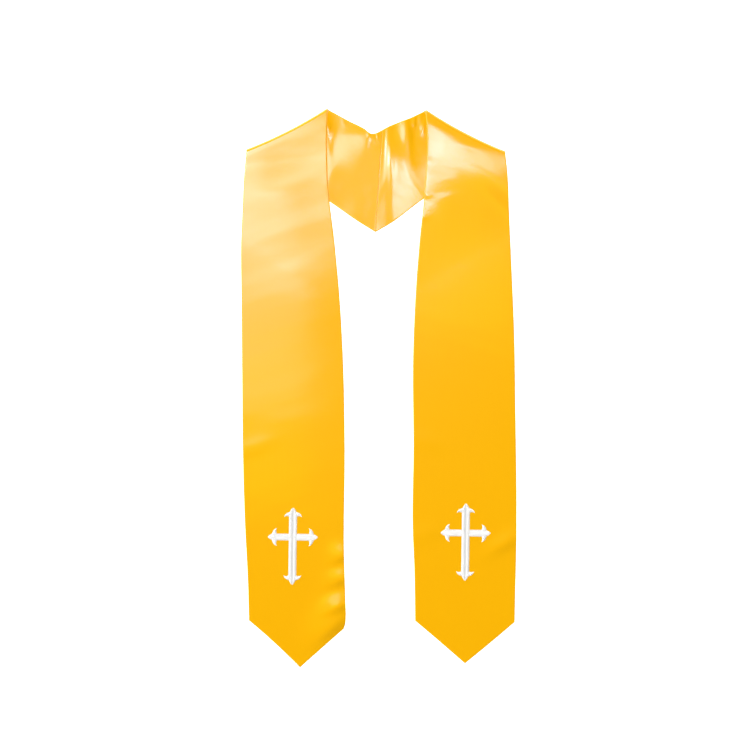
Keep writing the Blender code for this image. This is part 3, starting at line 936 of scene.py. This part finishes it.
# %% Make a tree that sews stitches
def stitch_tree():
    """The tree, and the identifier of each of its inputs."""
    tree = bpy.data.node_groups.new("sew_stitches", "GeometryNodeTree")
    tree.interface.new_socket("Guide", in_out="INPUT", socket_type="NodeSocketGeometry")
    sockets = {}
    for label, kind, number in (
        ("Thread Radius", "NodeSocketFloat", 0.0002),
        ("Arch Height", "NodeSocketFloat", 0.0008),
        ("Steps", "NodeSocketInt", 7),
        ("Sides", "NodeSocketInt", 5),
        ("Unevenness", "NodeSocketFloat", 0.00004),
        ("Seed", "NodeSocketInt", 4),
    ):
        made = tree.interface.new_socket(label, in_out="INPUT", socket_type=kind)
        made.default_value = number
        sockets[label] = made.identifier
    thread = tree.interface.new_socket("Thread", in_out="INPUT", socket_type="NodeSocketMaterial")
    sockets["Thread"] = thread.identifier
    tree.interface.new_socket("Stitches", in_out="OUTPUT", socket_type="NodeSocketGeometry")

    nodes = Nodes(tree)

    def made_by(kind, output, sources, **settings):
        """One output of a new node."""
        return nodes.node(kind, settings, sources).outputs[output]

    given = nodes.node("NodeGroupInput", {}, {}).outputs
    lines = made_by("GeometryNodeMeshToCurve", "Curve", {"Mesh": given["Guide"]})
    fine = made_by("GeometryNodeResampleCurve", "Curve", {"Curve": lines, "Count": given["Steps"]})
    # The arch: 1 - (2t - 1)^4 rises steeply at both ends and stays level between
    share = Value(nodes, made_by("GeometryNodeSplineParameter", "Factor", {}))
    centred = share * 2 - 1
    square = centred * centred
    arch = (1 - square * square) * given["Arch Height"]
    # Each thread lies a little higher or lower than its neighbours
    point = made_by("GeometryNodeInputIndex", 0, {})
    stitch = made_by("GeometryNodeCurveOfPoint", "Curve Index", {"Point Index": point})
    most = given["Unevenness"]
    sway = made_by(
        "FunctionNodeRandomValue", 1,
        {2: Value(nodes, most) * -1, 3: most, "Seed": given["Seed"], "ID": stitch},
        data_type="FLOAT",
    )
    offset = made_by("ShaderNodeCombineXYZ", "Vector", {"Z": arch + sway})
    bent = made_by("GeometryNodeSetPosition", "Geometry", {"Geometry": fine, "Offset": offset})
    ring = made_by(
        "GeometryNodeCurvePrimitiveCircle", "Curve",
        {"Resolution": given["Sides"], "Radius": given["Thread Radius"]},
    )
    tube = made_by(
        "GeometryNodeCurveToMesh", "Mesh",
        {"Curve": bent, "Profile Curve": ring, "Fill Caps": True},
    )
    solid = made_by("GeometryNodeRealizeInstances", "Geometry", {"Geometry": tube})
    painted = made_by(
        "GeometryNodeSetMaterial", "Geometry", {"Geometry": solid, "Material": given["Thread"]})
    nodes.node("NodeGroupOutput", {}, {"Stitches": painted})
    return tree, sockets


STITCH_TREE, STITCH_SOCKETS = stitch_tree()
print("inputs of the stitches:", list(STITCH_SOCKETS))


def sew(name, pairs, finish, **settings):
    """Stitches between pairs of points, in metres, as one plain mesh."""
    guide = bpy.data.meshes.new(name + "_guide")
    points = [p for pair in pairs for p in pair]
    guide.from_pydata(points, [(2 * i, 2 * i + 1) for i in range(len(pairs))], [])
    holder = bpy.data.objects.new(name, guide)
    scene.collection.objects.link(holder)
    sewing = holder.modifiers.new("Sewing", "NODES")
    sewing.node_group = STITCH_TREE
    for label, number in settings.items():
        sewing[STITCH_SOCKETS[label.replace("_", " ")]] = number
    sewing[STITCH_SOCKETS["Thread"]] = finish
    mesh = evaluated(holder)
    holder.modifiers.remove(sewing)
    holder.data = mesh
    bpy.data.meshes.remove(guide)
    mesh.name = name
    mesh.materials.clear()
    mesh.materials.append(finish)
    mesh.shade_smooth()
    print(name, "stitches", len(pairs), "faces", len(mesh.polygons))
    return holder


# %% [markdown]
# Embroidery thread is twisted rayon, white with a soft gloss. A fine ripple on each stitch stands
# for its twist, and the colour greys a little from stitch to stitch. The pad is the same white
# thread, but it is painted a darker grey: painted shade where it shows in the groove and
# between the stitches.

# %% Spin the threads
TONES_PER_M, TWISTS_PER_M = 900, 5200


def thread(name, clean, dull):
    """Thread that varies between two colours, with the ripple of its twist."""
    recipe = Recipe(name, Roughness=0.42, IOR=1.5)
    place = recipe.node("ShaderNodeTexCoord", {}, {}).outputs["Object"]
    tone = recipe.noise(place, TONES_PER_M, detail=2.0)
    twist = recipe.noise(place, TWISTS_PER_M, detail=1.0)
    recipe.drive(
        Base_Color=recipe.blend(tone, clean, dull),
        Normal=recipe.bump(twist, strength=0.25, distance=0.1 * MM),
    )
    return recipe.material


white_thread = thread("white_thread", (0.80, 0.79, 0.80, 1), (0.70, 0.70, 0.73, 1))
# The pad's darker grey is painted shade for the groove and the gaps between stitches.
pad_thread_painted_shade = thread("pad_thread_painted_shade", (0.62, 0.62, 0.64, 1), (0.54, 0.54, 0.56, 1))
seam_thread = thread("seam_thread", (0.95, 0.62, 0.10, 1), (0.80, 0.46, 0.05, 1))
print("threads:", white_thread.name, pad_thread_painted_shade.name, seam_thread.name)

# %% [markdown]
# The upright gets two columns of stitches that meet in the middle, and the crossbar one column
# that runs straight over it. In each end, the pointed leaf continues the arm, and the two curled
# leaves have stitches from their outer to their inner edge.

# %% Lay out the stitches of a cross
# In mm: from stitch to stitch, how far a stitch slants, half the groove, the height of a
# stitch's ends, and how far an arm's stitches start and stop before its ends
PITCH = 0.42
SLANT = 0.6
GROOVE_HALF = 0.6
STITCH_ENDS = 0.1
ARM_START, ARM_STOP = 0.2, 0.5
# How far the crossbar's stitches reach under the upright, and the leaves' into the arm
BAR_TUCK, LEAF_TUCK = 0.4, 0.6
LEAF_CORNER = (4.0, 6.0)
LEAF_STITCHES = 26


def along_line(points, count):
    """Evenly spaced places on a broken line."""
    points = np.array(points, dtype=float)
    steps = np.concatenate([[0], np.cumsum(np.linalg.norm(np.diff(points, axis=0), axis=1))])
    at = np.linspace(0, steps[-1], count)
    return np.stack([np.interp(at, steps, points[:, i]) for i in range(2)], axis=1)


def arm_half_width(back, half_width):
    """Half the width of an arm at a distance from its tip."""
    outs, backs = zip(*LANCE)
    return float(np.interp(back, backs + (LEAF_ROOT,), outs + (half_width,)))


def cross_pairs(place):
    """Both ends of every stitch of a cross."""
    pairs = []

    def stitch(a, b, heading):
        (ax, ay), (bx, by) = turned(*a, heading), turned(*b, heading)
        ends = (on_panel(ax, ay, STITCH_ENDS, place), on_panel(bx, by, STITCH_ENDS, place))
        pairs.append(ends)

    for arm, half_width, heading in ARMS.values():
        upright = half_width == POST_HALF
        start = 0.0 if upright else POST_HALF - BAR_TUCK
        for along in np.arange(start + ARM_START, arm - ARM_STOP, PITCH):
            width = arm_half_width(arm - along, half_width)
            if upright:
                stitch((GROOVE_HALF, along), (width, along + SLANT), heading)
                stitch((-GROOVE_HALF, along), (-width, along + SLANT), heading)
            else:
                stitch((-width, along), (width, along + SLANT / 2), heading)
        for side in (-1, 1):
            root = (half_width - LEAF_TUCK, LEAF_ROOT)
            outer = along_line([LEAF_CORNER, *LEAF[: LEAF_TIP + 1]], LEAF_STITCHES)
            inner = along_line([root, *LEAF[: LEAF_TIP - 1 : -1]], LEAF_STITCHES)
            for (out_a, back_a), (out_b, back_b) in zip(outer[:-1], inner[:-1]):
                stitch((side * out_a, arm - back_a), (side * out_b, arm - back_b), heading)
    return pairs


CROSS_PIECES = {}
for side, place in CROSSES.items():
    pad = add_pad(f"cross_pad_{side}", place, pad_thread_painted_shade)
    stitches = sew(
        f"cross_stitches_{side}", cross_pairs(place), white_thread,
        Thread_Radius=0.24 * MM, Arch_Height=1.0 * MM, Unevenness=0.03 * MM, Seed=4,
    )
    CROSS_PIECES[side] = (pad, stitches)
print("crosses:", list(CROSS_PIECES))

# %% [markdown]
# The slanting seam at the centre back joins both bands. Its thread lies deep between them, and a
# little of each stitch shows where the lining pulls away.

# %% Sew the centre back seam
SEAM_STITCH = 2.6 * MM  # from stitch to stitch
STITCH_SHARE = 0.8  # the part of that which the thread covers
SEAM_MARGINS = (1.5 * MM, 3 * MM)  # bare lengths at the top and the bottom
SEAM_LIFT = 0.1 * MM


def seam_pairs():
    """Both ends of every stitch of the seam."""
    top, bottom = np.array(SEAM_TOP) * MM, np.array(SEAM_BOTTOM) * MM
    run = bottom - top
    length = np.linalg.norm(run)
    pairs = []
    for start in np.arange(SEAM_MARGINS[0], length - SEAM_MARGINS[1], SEAM_STITCH):
        ends = [top + run * (start + more) / length for more in (0, SEAM_STITCH * STITCH_SHARE)]
        pairs.append(tuple((x, y, HALF_BAND + SEAM_LIFT) for x, y in ends))
    return pairs


seam = sew(
    "seam_stitches", seam_pairs(), seam_thread,
    Thread_Radius=0.16 * MM, Arch_Height=0.12 * MM, Unevenness=0.01 * MM, Seed=7,
)

# %% [markdown]
# Last, every piece is tied to the solid that it dresses.

# %% Tie the pieces to the stole
for (kind, side), (layer, area, length) in LAYERS.items():
    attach(layer, "root")
    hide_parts(f"{kind}_{side}")
for side, (pad, stitches) in CROSS_PIECES.items():
    for piece in (pad, stitches):
        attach(piece, "root")
    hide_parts(f"cross_{side}")
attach(seam, "root")
print("tied:", len(LAYERS), "layers,", len(CROSS_PIECES), "crosses and the seam")
